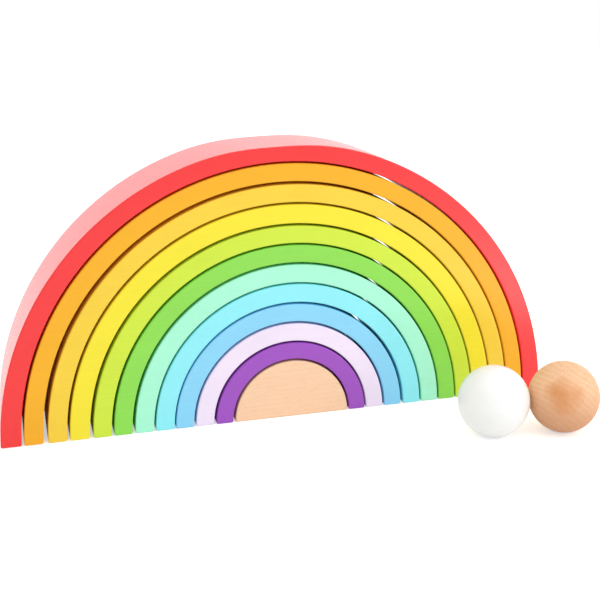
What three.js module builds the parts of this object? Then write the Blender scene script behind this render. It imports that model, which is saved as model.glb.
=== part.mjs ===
// A nesting rainbow of solid wood: painted arches that stand one inside the other around a bare
// half-round core, with a painted ball and a bare ball lying on the floor in front of them.
//
// Millimetres, +Z up. The origin is on the floor, in the middle of the core's flat base.
// X runs along the row of feet, Y through the depth of the arches, and the front looks towards -Y.

import * as THREE from 'three';

// Sizes that the core and the arches share. The rings are sawn in half through their centre, so the
// centre of every circle lies on the floor.
const DEPTH = 57;
const CORE_RADIUS = 37.7;
const ARCH_THICKNESS = 11.5;
const CLEARANCE = 1.4;

// Rounding of the edges round the front and back faces, and the corner that a face keeps at each foot
const EDGE_ROUND = 1;
const FOOT_CORNER = 0.6;

// The balls, and where they lie: how far the painted one is to the right of the core's middle, how much
// floor stays free between it and the arches, and how the bare one lies beside it
const BALL_DIAMETER = 45;
const BALL_ASIDE = 112;
const BALL_FREE_FLOOR = 46;
const BALL_SPACE = 0.4;
const BALL_STAGGER = 6;

// The furthest that a flat facet may lie from the true arc
const FACET_SAG = 0.14;

// Finishes: satin paint, and sanded wood without any
const PAINT_ROUGHNESS = 0.32;
const BARE_ROUGHNESS = 0.62;
const CORE_WOOD = 0xf6cfa6;
const BALL_WOOD = 0xe4b283;
const WHITE_PAINT = 0xfafafa;

// The arches from the inside out. Sawing and sanding by hand left each a little thicker or thinner than
// the common thickness, and its clearance a little looser or tighter. Each was also set down a little to
// one side of the piece inside it: play is that step, as a share of its clearance, positive to the right.
// The outermost was sawn right at the edge of the plank. Its outer arc has its centre lower than the floor
// by drop, so that its feet are thicker than its crown, and flat is how much of the crown was planed off.
const ARCHES = [
  { name: 'purple_arch', colour: 0xa45cc4, thicker: -0.6, looser: 0, play: -0.1 },
  { name: 'lilac_arch', colour: 0xf4e6fd, thicker: 0.1, looser: -0.1, play: -0.2 },
  { name: 'blue_arch', colour: 0x90d4fd, thicker: 0, looser: 0, play: 0 },
  { name: 'cyan_arch', colour: 0x8ff0fe, thicker: 0.3, looser: 0, play: 0.35 },
  { name: 'mint_arch', colour: 0xaefdd4, thicker: 0.2, looser: -0.2, play: 0 },
  { name: 'green_arch', colour: 0x92df5a, thicker: -0.2, looser: 0.1, play: -0.2 },
  { name: 'lime_arch', colour: 0xd3ec4a, thicker: -0.3, looser: -0.1, play: -0.2 },
  { name: 'yellow_arch', colour: 0xfde843, thicker: 0.7, looser: 0.2, play: -0.3 },
  { name: 'amber_arch', colour: 0xfed04c, thicker: 0, looser: 0, play: -0.2 },
  { name: 'orange_arch', colour: 0xfeb236, thicker: -0.1, looser: 0.5, play: -0.5 },
  { name: 'red_arch', colour: 0xfc5052, thicker: -0.5, looser: -0.2, play: -0.2, drop: 1.5, flat: 1.4 },
];

const footRound = EDGE_ROUND + FOOT_CORNER;
const bodyDepth = DEPTH - 2 * EDGE_ROUND;
const quarterTurn = Math.PI / 2;

const rainbow = new THREE.Group();

// How many straight steps an arc needs to stay within the sag
function arcSteps(radius, sweep) {
  const stepAngle = 2 * Math.acos(1 - FACET_SAG / radius);
  return Math.ceil(sweep / stepAngle);
}

// Points along an arc, counter-clockwise when the end angle is the larger one
function arc(x, y, radius, start, end) {
  const steps = arcSteps(radius, Math.abs(end - start));
  return new THREE.EllipseCurve(x, y, radius, radius, start, end, end < start).getPoints(steps);
}

// The rounded corner at a foot: how far to the side its middle lies, and the angle at which it runs into
// the large arc, when its middle is at the given distance from the arc's centre, which is drop under the floor
function footCorner(distance, drop = 0) {
  const rise = footRound + drop;
  return {
    x: Math.sqrt(distance ** 2 - rise ** 2),
    angle: Math.asin(rise / distance),
  };
}

// The front outline of the core: a large arc, two rounded corners and the flat base
function coreOutline(radius) {
  const corner = footCorner(radius - footRound);
  return [
    ...arc(0, 0, radius, corner.angle, Math.PI - corner.angle),
    ...arc(-corner.x, footRound, footRound, Math.PI - corner.angle, 3 * quarterTurn),
    ...arc(corner.x, footRound, footRound, 3 * quarterTurn, 4 * quarterTurn + corner.angle),
  ];
}

// The front outline of an arch: up the outer arc, across the flat of the crown and down again, round the
// left foot, back along the inner arc, and round the right foot
function archOutline(innerRadius, outerRadius, drop, flat) {
  const outer = footCorner(outerRadius - footRound, drop);
  const inner = footCorner(innerRadius + footRound);
  const flatEnd = Math.asin(1 - flat / outerRadius);
  return [
    ...arc(0, -drop, outerRadius, outer.angle, flatEnd),
    ...arc(0, -drop, outerRadius, Math.PI - flatEnd, Math.PI - outer.angle),
    ...arc(-outer.x, footRound, footRound, Math.PI - outer.angle, 3 * quarterTurn),
    ...arc(-inner.x, footRound, footRound, 3 * quarterTurn, 4 * quarterTurn - inner.angle),
    ...arc(0, 0, innerRadius, Math.PI - inner.angle, inner.angle),
    ...arc(inner.x, footRound, footRound, Math.PI + inner.angle, 3 * quarterTurn),
    ...arc(outer.x, footRound, footRound, 3 * quarterTurn, 4 * quarterTurn + outer.angle),
  ];
}

// Arcs that run into each other share an end point, and the outline keeps it once
function withoutRepeats(points) {
  return points.filter((point, i) => point.distanceTo(points.at(i - 1)) > FACET_SAG / 10);
}

// A block of the common depth, sawn to an outline, with the edges of its front and back faces rounded
function sawnBlock(name, outline, finish) {
  const geometry = new THREE.ExtrudeGeometry(new THREE.Shape(withoutRepeats(outline)), {
    depth: bodyDepth,
    bevelThickness: EDGE_ROUND,
    bevelSize: EDGE_ROUND,
    bevelOffset: -EDGE_ROUND,
    bevelSegments: arcSteps(EDGE_ROUND, quarterTurn),
  });
  geometry.translate(0, 0, -bodyDepth / 2);
  geometry.rotateX(quarterTurn);
  const block = new THREE.Mesh(geometry, finish);
  block.name = name;
  rainbow.add(block);
  return block;
}

// A ball on the floor, with a pole at its lowest point so that it touches the floor there
function ball(name, x, y, finish) {
  const radius = BALL_DIAMETER / 2;
  const quarterSteps = arcSteps(radius, quarterTurn);
  const geometry = new THREE.SphereGeometry(radius, 4 * quarterSteps, 2 * quarterSteps);
  geometry.rotateX(quarterTurn);
  const mesh = new THREE.Mesh(geometry, finish);
  mesh.name = name;
  mesh.position.set(x, y, radius);
  rainbow.add(mesh);
}

function paint(colour) {
  return new THREE.MeshStandardMaterial({ color: colour, roughness: PAINT_ROUGHNESS, metalness: 0 });
}

function bareWood(colour) {
  return new THREE.MeshStandardMaterial({ color: colour, roughness: BARE_ROUGHNESS, metalness: 0 });
}

// The core
sawnBlock('half_round_core', coreOutline(CORE_RADIUS), bareWood(CORE_WOOD));

// The arches, each a clearance larger than the piece inside it
let insideRadius = CORE_RADIUS;
let placeX = 0;
for (const { name, colour, thicker, looser, play, drop = 0, flat = 0 } of ARCHES) {
  const clearance = CLEARANCE + looser;
  const innerRadius = insideRadius + clearance;
  const outerRadius = innerRadius + ARCH_THICKNESS + thicker + drop;
  placeX += play * clearance;
  const outline = archOutline(innerRadius, outerRadius, drop, flat);
  sawnBlock(name, outline, paint(colour)).position.x = placeX;
  insideRadius = outerRadius;
}

// The balls
const ballY = -(DEPTH / 2 + BALL_FREE_FLOOR + BALL_DIAMETER / 2);
ball('white_ball', BALL_ASIDE, ballY, paint(WHITE_PAINT));
ball('plain_ball', BALL_ASIDE + BALL_DIAMETER + BALL_SPACE, ballY - BALL_STAGGER, bareWood(BALL_WOOD));

export default rainbow;
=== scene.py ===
import math

import bpy
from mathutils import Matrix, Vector


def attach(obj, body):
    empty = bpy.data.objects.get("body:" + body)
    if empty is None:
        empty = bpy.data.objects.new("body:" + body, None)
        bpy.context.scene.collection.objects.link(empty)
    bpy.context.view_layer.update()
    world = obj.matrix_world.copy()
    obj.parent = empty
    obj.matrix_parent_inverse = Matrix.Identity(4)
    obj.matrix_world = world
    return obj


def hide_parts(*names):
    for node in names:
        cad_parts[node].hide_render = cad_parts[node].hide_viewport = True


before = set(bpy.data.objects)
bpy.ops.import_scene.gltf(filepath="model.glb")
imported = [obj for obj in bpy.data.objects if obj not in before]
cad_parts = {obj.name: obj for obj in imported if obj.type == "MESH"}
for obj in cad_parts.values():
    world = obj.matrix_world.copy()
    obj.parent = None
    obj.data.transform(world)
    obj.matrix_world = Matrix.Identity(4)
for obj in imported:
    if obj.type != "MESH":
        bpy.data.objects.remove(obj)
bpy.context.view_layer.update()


# The half-round core is a block of bare beech under the smallest arch, half of a disc 75.4 mm across.
# It is sawn, its edges are rounded over and it is sanded smooth. The grain lies along the row of feet.
# It stands loose on its sawn side.
depth = 0.057
core_radius = 0.0377
edge_round = 0.001
foot_round = 0.0012


def foot_to_foot(radius, side, inset, drop=0, flat=0):
    """Points from the right foot over the crown to the left foot, each with its outward direction.

    side is 1 along the outside of a half ring and -1 along its inside. inset draws the line that far
    into the wood, so that the rounded edges can be built up from several lines. The circle's centre is
    drop under the floor. Its crown is planed off by flat, and the flat is sanded soft towards its ends.
    """
    flat_middle = math.radians(92)
    flat_spread = math.radians(8.5)
    sag = 0.00001
    corner_steps = 6
    crown_steps = 2 * math.ceil(0.5 * math.pi / math.sqrt(8 * sag / radius)) + 1

    # The rounded corner of the foot runs into the large circle at the angle turn
    corner_distance = radius - side * foot_round
    turn = math.asin((foot_round + drop) / corner_distance)
    corner_x = corner_distance * math.cos(turn)
    corner_end = turn if side > 0 else turn - math.pi
    right = []
    for i in range(corner_steps):
        a = -math.pi / 2 + (corner_end + math.pi / 2) * i / corner_steps
        u, w = math.cos(a), math.sin(a)
        right.append((corner_x + (foot_round - inset) * u, foot_round + (foot_round - inset) * w, u, w))

    crown = []
    for i in range(crown_steps + 1):
        a = turn + (math.pi - 2 * turn) * i / crown_steps
        u, w = math.cos(a), math.sin(a)
        planed = flat * math.exp(-((a - flat_middle) / flat_spread) ** 2)
        r = radius - side * inset - planed
        lean = 2 * planed * (a - flat_middle) / flat_spread ** 2 / r
        out = Vector((u + lean * w, w - lean * u)).normalized() * side
        crown.append((r * u, r * w - drop, out.x, out.y))

    left = [(-x, z, -u, w) for x, z, u, w in reversed(right)]
    return right + crown + left


def sawn_block(name, outline):
    """A block of the common depth with rounded front and back edges. outline(inset) is its front view."""
    edge_steps = 6
    tilts = [math.pi / 2 * i / edge_steps for i in range(edge_steps + 1)]
    levels = [(-1, tilt) for tilt in tilts] + [(1, tilt) for tilt in reversed(tilts)]
    points = []
    directions = []
    for way, tilt in levels:
        y = way * (depth / 2 - edge_round * (1 - math.cos(tilt)))
        for x, z, u, w in outline(edge_round * (1 - math.sin(tilt))):
            points.append((x, y, z))
            directions.append((math.sin(tilt) * u, way * math.cos(tilt), math.sin(tilt) * w))

    # The sides run round from level to level
    around = len(points) // len(levels)
    faces = []
    for level in range(len(levels) - 1):
        here = level * around
        behind = here + around
        for i in range(around):
            j = (i + 1) % around
            faces.append((here + i, behind + i, behind + j, here + j))

    # The front and the back are strips from the outer line to the inner one
    back = (len(levels) - 1) * around
    for i in range(around // 2 - 1):
        strip = (i, i + 1, around - 2 - i, around - 1 - i)
        faces.append(strip)
        faces.append(tuple(back + k for k in reversed(strip)))

    mesh = bpy.data.meshes.new(name)
    mesh.from_pydata(points, [], faces)
    mesh.shade_smooth()
    mesh.normals_split_custom_set_from_vertices(directions)
    block = bpy.data.objects.new(name, mesh)
    bpy.context.scene.collection.objects.link(block)
    return block


def tint(code):
    """A colour written as six hexadecimal digits, as the shader wants it."""
    parts = [int(code[i:i + 2], 16) / 255 for i in (0, 2, 4)]
    return [p / 12.92 if p <= 0.04045 else ((p + 0.055) / 1.055) ** 2.4 for p in parts] + [1.0]


def add(tree, kind, inputs, **settings):
    """A shader node. Each input is given a value or the socket that feeds it."""
    new = tree.nodes.new(kind)
    for key, value in settings.items():
        setattr(new, key, value)
    for key, value in inputs.items():
        if isinstance(value, bpy.types.NodeSocket):
            tree.links.new(value, new.inputs[key])
        else:
            new.inputs[key].default_value = value
    return new


def arithmetic(tree, operation, *terms):
    """A sum, product or the like of values and sockets."""
    return add(tree, "ShaderNodeMath", dict(enumerate(terms)), operation=operation).outputs[0]


def vector_arithmetic(tree, operation, first, second):
    """The same for places and directions."""
    return add(tree, "ShaderNodeVectorMath", {0: first, 1: second}, operation=operation).outputs[0]


def blend(tree, share, first, second, blend_type="MIX"):
    """A mix of two colours."""
    inputs = {0: share, 6: first, 7: second}
    return add(tree, "ShaderNodeMix", inputs, data_type="RGBA", blend_type=blend_type).outputs[2]


def span(tree, value, low, high, to_low, to_high):
    """Stretches part of a value's range over another range."""
    return add(tree, "ShaderNodeMapRange", {0: value, 1: low, 2: high, 3: to_low, 4: to_high}).outputs[0]


def noise(tree, place, stretch, detail):
    """Soft noise whose spots have these lengths along X, Y and Z, in millimetres."""
    scaled = vector_arithmetic(tree, "MULTIPLY", place, [1000 / s for s in stretch])
    return add(tree, "ShaderNodeTexNoise", {"Vector": scaled, "Scale": 1, "Detail": detail}).outputs


def shared_effect(name, inputs):
    """An empty node group that puts out a colour, a roughness and a height, with its two ends."""
    tree = bpy.data.node_groups.new(name, "ShaderNodeTree")
    for label, kind in inputs.items():
        tree.interface.new_socket(label, in_out="INPUT", socket_type="NodeSocket" + kind)
    for label, kind in (("Colour", "Color"), ("Roughness", "Float"), ("Height", "Float")):
        tree.interface.new_socket(label, in_out="OUTPUT", socket_type="NodeSocket" + kind)
    return tree, tree.nodes.new("NodeGroupInput").outputs, tree.nodes.new("NodeGroupOutput").inputs


# Bare beech: growth rings about a pith that runs along X, long fibres, and the short dark flecks of the rays
beech, given, made = shared_effect(
    "bare beech",
    {"Place": "Vector", "Pale": "Color", "Dark": "Color", "Fleck": "Color", "Rings": "Float"},
)
sway = noise(beech, given["Place"], (90, 24, 24), 2)["Color"]
sway = vector_arithmetic(beech, "MULTIPLY", sway, (0, 0.007, 0.007))
swayed = vector_arithmetic(beech, "ADD", given["Place"], sway)
from_pith = vector_arithmetic(beech, "ADD", swayed, (0, 0.03, 0.055))
rings = add(
    beech, "ShaderNodeTexWave", {"Vector": from_pith, "Scale": 95, "Distortion": 0},
    wave_type="RINGS", rings_direction="X",
).outputs["Fac"]
fibres = noise(beech, swayed, (22, 0.7, 0.7), 4)[0]
rays = noise(beech, swayed, (3.4, 0.55, 0.55), 1)[0]
flecks = arithmetic(beech, "MULTIPLY", span(beech, rays, 0.6, 0.72, 0, 1), 0.4)
ring_tone = span(beech, rings, 0.3, 1, 0, given["Rings"])
tone = arithmetic(beech, "ADD", span(beech, fibres, 0.3, 0.7, 0, 0.5), ring_tone)
wood = blend(beech, tone, given["Pale"], given["Dark"])
wood = blend(beech, flecks, wood, given["Fleck"])
beech.links.new(wood, made["Colour"])
beech.links.new(span(beech, fibres, 0.3, 0.7, 0.52, 0.66), made["Roughness"])
beech.links.new(arithmetic(beech, "SUBTRACT", fibres, flecks), made["Height"])


def finish(name, effect, inputs, relief, gloss, grain=(1, 0, 0)):
    """A material with the colour, roughness and fine relief of a shared effect.

    relief is the depth of its unevenness, gloss how much it mirrors, and grain the way its fibres run.
    """
    material = bpy.data.materials.new(name)
    material.use_nodes = True
    tree = material.node_tree
    shader = tree.nodes["Principled BSDF"]
    shader.inputs["Specular IOR Level"].default_value = gloss
    turn = Vector(grain).to_track_quat("X", "Z").to_euler()
    place = add(tree, "ShaderNodeTexCoord", {}).outputs["Object"]
    turned = {"Vector": place, "Rotation": turn}
    place = add(tree, "ShaderNodeMapping", turned, vector_type="TEXTURE").outputs[0]
    skin = add(tree, "ShaderNodeGroup", {}, node_tree=effect)
    tree.links.new(place, skin.inputs["Place"])
    for key, value in inputs.items():
        skin.inputs[key].default_value = value
    uneven = {"Height": skin.outputs["Height"], "Strength": 0.5, "Distance": relief}
    bumps = add(tree, "ShaderNodeBump", uneven)
    tree.links.new(skin.outputs["Colour"], shader.inputs["Base Color"])
    tree.links.new(skin.outputs["Roughness"], shader.inputs["Roughness"])
    tree.links.new(bumps.outputs[0], shader.inputs["Normal"])
    return material


beech_relief = 0.00006
beech_gloss = 0.3
core = sawn_block("core_block", lambda inset: foot_to_foot(core_radius, 1, inset))
core.data.materials.append(finish(
    "bare beech of the core", beech,
    {"Pale": tint("fdd6b3"), "Dark": tint("f5c59c"), "Fleck": tint("e6b88e"), "Rings": 0.12},
    beech_relief, beech_gloss,
))
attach(core, "half_round_core")
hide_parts("half_round_core")


# The arches are half rings of solid beech, about 11.5 mm thick, each with about 1.4 mm of room inside it.
# They are sawn, rounded over, sanded and dipped in satin paint, which is deeper on the thirsty sawn sides;
# that deeper colour is partly painted shade for the sawn sides seen in the gaps between the arches.
# They stand loose, so each is a little off the middle of the one inside it.
paint, given, made = shared_effect(
    "satin paint on beech",
    {"Place": "Vector", "Paint": "Color", "Soak and shade": "Float"},
)
cloud = noise(paint, given["Place"], (38, 30, 30), 2)[0]
fibres = noise(paint, given["Place"], (26, 0.9, 0.9), 3)[0]
peel = noise(paint, given["Place"], (1.3, 1.3, 1.3), 1)[0]
cloudy = span(paint, cloud, 0.3, 0.7, 0, 0.6)
fibrous = span(paint, fibres, 0.3, 0.7, 0, 0.4)
thicker = blend(paint, 1, given["Paint"], (0.93, 0.93, 0.93, 1), "MULTIPLY")
coat = blend(paint, arithmetic(paint, "ADD", cloudy, fibrous), given["Paint"], thicker)

# How far a spot turns away from the front and back faces tells whether it is on a sawn side, whose colour is
# made deeper: partly soaked-up paint, partly painted shade in the gaps between the arches
facing = add(paint, "ShaderNodeTexCoord", {}).outputs["Normal"]
facing = add(paint, "ShaderNodeSeparateXYZ", {0: facing}).outputs[1]
facing = arithmetic(paint, "ABSOLUTE", facing)
soaked_and_shaded = span(paint, facing, 0.5, 0.1, 0, given["Soak and shade"])
paint.links.new(blend(paint, soaked_and_shaded, coat, coat, "MULTIPLY"), made["Colour"])
rough = arithmetic(paint, "MULTIPLY_ADD", soaked_and_shaded, 1.2, span(paint, peel, 0.3, 0.7, 0.2, 0.27))
paint.links.new(rough, made["Roughness"])
paint.links.new(arithmetic(paint, "ADD", fibres, peel), made["Height"])

paint_relief = 0.00003
arches = [
    # colour and paint, then clearance inside it, thickness and step to the right of the core, in millimetres
    ("purple", "a556c7", 1.4, 10.9, -0.14),
    ("lilac", "f8e9fe", 1.3, 11.6, -0.4),
    ("blue", "91dbfe", 1.4, 11.5, -0.4),
    ("cyan", "96f4fe", 1.4, 11.8, 0.09),
    ("mint", "b0fedc", 1.2, 11.7, 0.09),
    ("green", "94e358", 1.5, 11.3, -0.21),
    ("lime", "d7ef47", 1.3, 11.2, -0.47),
    ("yellow", "fceb3b", 1.6, 12.2, -0.95),
    ("amber", "fcd644", 1.4, 11.5, -1.23),
    ("orange", "fcb728", 1.9, 11.4, -2.18),
    ("red", "f92225", 1.2, 11.0, -2.42),
]
inside = core_radius
for colour, code, clearance, thickness, aside in arches:
    drop = 0
    flat = 0
    gloss = 0.25
    # This deepens the colour of the sawn sides: partly soaked-up paint, partly painted shade in the gaps
    # between the arches
    soak_and_shade = 0.3
    if colour == "red":
        # The outermost arch was sawn at the edge of the plank: its outer circle sits low, which makes its
        # feet thicker than its crown, and the crown has a flat. Its outside is rubbed to a gloss.
        drop = 0.0015
        flat = 0.0014
        gloss = 0.6
        soak_and_shade = 0
    inner = inside + clearance / 1000
    outer = inner + thickness / 1000 + drop
    arch = sawn_block(
        colour + "_half_ring",
        lambda inset: foot_to_foot(outer, 1, inset, drop, flat) + foot_to_foot(inner, -1, inset)[::-1],
    )
    arch.location.x = aside / 1000
    arch.data.materials.append(finish(
        colour + " paint", paint, {"Paint": tint(code), "Soak and shade": soak_and_shade}, paint_relief, gloss,
    ))
    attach(arch, colour + "_arch")
    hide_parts(colour + "_arch")
    inside = outer


# The white ball is turned from beech, 45 mm across, and painted like the arches.
# It lies loose on the floor in front of the right feet.
ball_radius = 0.0225


def turned_ball(name, x, y):
    """A ball on the floor, from a cube whose faces are divided and pushed out to the round."""
    across = 24
    points = []
    faces = []
    known = {}

    def corner(axis, side, i, j):
        spot = [0, 0, 0]
        spot[axis] = side
        spot[(axis + 1) % 3] = math.tan(math.pi / 4 * (2 * i / across - 1))
        spot[(axis + 2) % 3] = math.tan(math.pi / 4 * (2 * j / across - 1))
        spot = Vector(spot).normalized()
        key = tuple(round(c, 6) for c in spot)
        if key not in known:
            known[key] = len(points)
            points.append(spot * ball_radius)
        return known[key]

    for axis in range(3):
        for side in (-1, 1):
            for i in range(across):
                for j in range(across):
                    face = [corner(axis, side, i + p, j + q) for p, q in ((0, 0), (1, 0), (1, 1), (0, 1))]
                    faces.append(face if side > 0 else face[::-1])
    mesh = bpy.data.meshes.new(name)
    mesh.from_pydata(points, [], faces)
    mesh.shade_smooth()
    mesh.normals_split_custom_set_from_vertices([p.normalized() for p in points])
    ball = bpy.data.objects.new(name, mesh)
    ball.location = (x, y, ball_radius)
    bpy.context.scene.collection.objects.link(ball)
    return ball


white_gloss = 0.3
white_ball = turned_ball("white_turned_ball", 0.112, -0.097)
white_ball.data.materials.append(finish(
    "white paint", paint, {"Paint": tint("fbfbfa"), "Soak and shade": 0}, paint_relief, white_gloss,
))
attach(white_ball, "white_ball")
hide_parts("white_ball")


# The other ball is bare beech, turned and sanded like the first, and lies loose beside it.
# Its end grain faces the front left, where the rings show as fine slanting lines and the open pores
# make the wood darker. Below, it is painted darker, as painted shade on its underside.
plain_ball = turned_ball("plain_turned_ball", 0.1574, -0.103)
plain_wood = finish(
    "bare beech of the ball", beech,
    {"Pale": tint("f8cda6"), "Dark": tint("e2a878"), "Fleck": tint("cf925f"), "Rings": 0.2},
    beech_relief, beech_gloss, grain=(-0.45, -0.82, 0.34),
)
tree = plain_wood.node_tree
shader = tree.nodes["Principled BSDF"]
along = next(n for n in tree.nodes if n.type == "MAPPING").outputs[0]
wander = noise(tree, along, (30, 11, 11), 2)["Color"]
wander = vector_arithmetic(tree, "MULTIPLY", wander, (0.007, 0.007, 0.007))
along = vector_arithmetic(tree, "ADD", along, wander)
along = add(tree, "ShaderNodeSeparateXYZ", {0: along}).outputs
end_grain = span(tree, along[0], 0.98 * ball_radius, 1.17 * ball_radius, 0, 0.85)
# Painted shade: the ball's colour is darkened towards its bottom
painted_shade_below = span(tree, along[2], 0.5 * ball_radius, -0.5 * ball_radius, 0, 0.6)
wood = shader.inputs["Base Color"].links[0].from_socket
wood = blend(tree, painted_shade_below, wood, tint("c98c64"))
wood = blend(tree, end_grain, wood, tint("d98f56"))
tree.links.new(wood, shader.inputs["Base Color"])
plain_ball.data.materials.append(plain_wood)
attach(plain_ball, "plain_ball")
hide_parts("plain_ball")


# The studio: a white light table, a large softbox overhead, a lit wall behind and a softbox on the right.
# A card on the table at the right lights nothing and only shows as a sheen in the paint of the right feet.
# The room beyond is white.
table_half = 4
table_z = -0.00005
table_mesh = bpy.data.meshes.new("light_table")
table_mesh.from_pydata(
    [(x * table_half, y * table_half, table_z) for x, y in ((-1, -1), (1, -1), (1, 1), (-1, 1))],
    [], [(0, 1, 2, 3)],
)
table = bpy.data.objects.new("light_table", table_mesh)
bpy.context.scene.collection.objects.link(table)
table_top = bpy.data.materials.new("white table top")
table_top.use_nodes = True
shader = table_top.node_tree.nodes["Principled BSDF"]
shader.inputs["Base Color"].default_value = (0.9, 0.9, 0.9, 1)
shader.inputs["Roughness"].default_value = 0.6
shader.inputs["Emission Color"].default_value = (1, 1, 1, 1)


def seen_directly(tree):
    """1 where the camera, a reflection or a see-through surface looks, and 0 for the light that lands."""
    path = add(tree, "ShaderNodeLightPath", {}).outputs
    seen = arithmetic(tree, "MAXIMUM", path["Is Camera Ray"], path["Is Glossy Ray"])
    return arithmetic(tree, "MAXIMUM", seen, path["Is Transmission Ray"])


glow = span(table_top.node_tree, seen_directly(table_top.node_tree), 0, 1, 0, 0.5)
table_top.node_tree.links.new(glow, shader.inputs["Emission Strength"])
table_mesh.materials.append(table_top)


def softbox(name, place, aim, width, height, watts):
    """A soft rectangular lamp that looks from one place to another and isn't seen itself."""
    lamp = bpy.data.lights.new(name, "AREA")
    lamp.shape = "RECTANGLE"
    lamp.size = width
    lamp.size_y = height
    lamp.energy = watts
    box = bpy.data.objects.new(name, lamp)
    box.location = place
    box.rotation_euler = (Vector(aim) - Vector(place)).to_track_quat("-Z", "Y").to_euler()
    box.visible_camera = False
    bpy.context.scene.collection.objects.link(box)
    return box


softbox("overhead_softbox", (0.12, -0.4, 1.1), (0.05, 0, 0), 1.3, 1.1, 2.7)
softbox("lit_wall", (0.2, 1.4, 0.5), (0.05, 0, 0.15), 2.4, 0.9, 2.5)
softbox("right_softbox", (0.7, -0.6, 0.4), (0.15, 0, 0.05), 0.6, 0.5, 1.6)
sheen_card = softbox("sheen_card", (0.3, -0.32, 0.004), (0.3, -0.32, 1), 0.14, 0.28, 0.26)
sheen_card.visible_diffuse = False

room = bpy.data.worlds.new("white room")
room.use_nodes = True
tree = room.node_tree
tree.nodes.clear()
light = add(tree, "ShaderNodeBackground", {"Color": (1, 1, 1, 1), "Strength": 0.86})
white = add(tree, "ShaderNodeBackground", {"Color": (1, 1, 1, 1), "Strength": 1})
mixed = add(tree, "ShaderNodeMixShader", {0: seen_directly(tree), 1: light.outputs[0], 2: white.outputs[0]})
add(tree, "ShaderNodeOutputWorld", {"Surface": mixed.outputs[0]})
bpy.context.scene.world = room
bpy.context.scene.view_settings.view_transform = "Standard"


# The camera stands in front, a little to the left and above. The photograph is cut out of a larger
# picture, so its middle isn't where the lens points: the shift puts the frame there.
camera_data = bpy.data.cameras.new("camera")
camera_data.sensor_width = 36
camera_data.lens = 67.461
camera_data.shift_x = -0.08142
camera_data.shift_y = -0.10365
camera = bpy.data.objects.new("camera", camera_data)
camera.location = (-0.17292, -0.70323, 0.27191)
looked_at = Vector((0.04762, 0, 0.11061))
camera.rotation_euler = (looked_at - camera.location).to_track_quat("-Z", "Y").to_euler()
bpy.context.scene.collection.objects.link(camera)
bpy.context.scene.camera = camera
